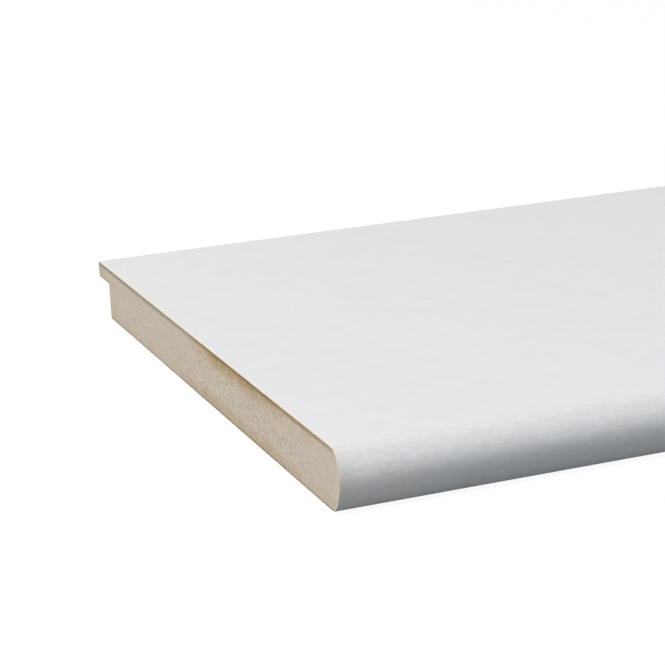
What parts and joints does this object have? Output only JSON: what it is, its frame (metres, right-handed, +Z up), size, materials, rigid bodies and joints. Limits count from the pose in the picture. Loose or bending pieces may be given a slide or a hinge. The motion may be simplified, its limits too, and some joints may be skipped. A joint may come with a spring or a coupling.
{
  "type": "window sill board",
  "caption": "Flat white-primed fibreboard window board with a rounded front nose and a tongue over a rebate along the back edge.",
  "frame": {"origin": "middle of the board's length and width, on the plane it lies on", "axes": "+X along the board's length, -Y towards the rounded nose, +Y towards the tongue, +Z up through the primed top"},
  "size_m": [1.22, 0.319, 0.025],
  "materials": {
    "primed_fibreboard": "matte"
  },
  "bodies": {
    "root": {"sill_board": "primed_fibreboard"}
  },
  "joints": []
}
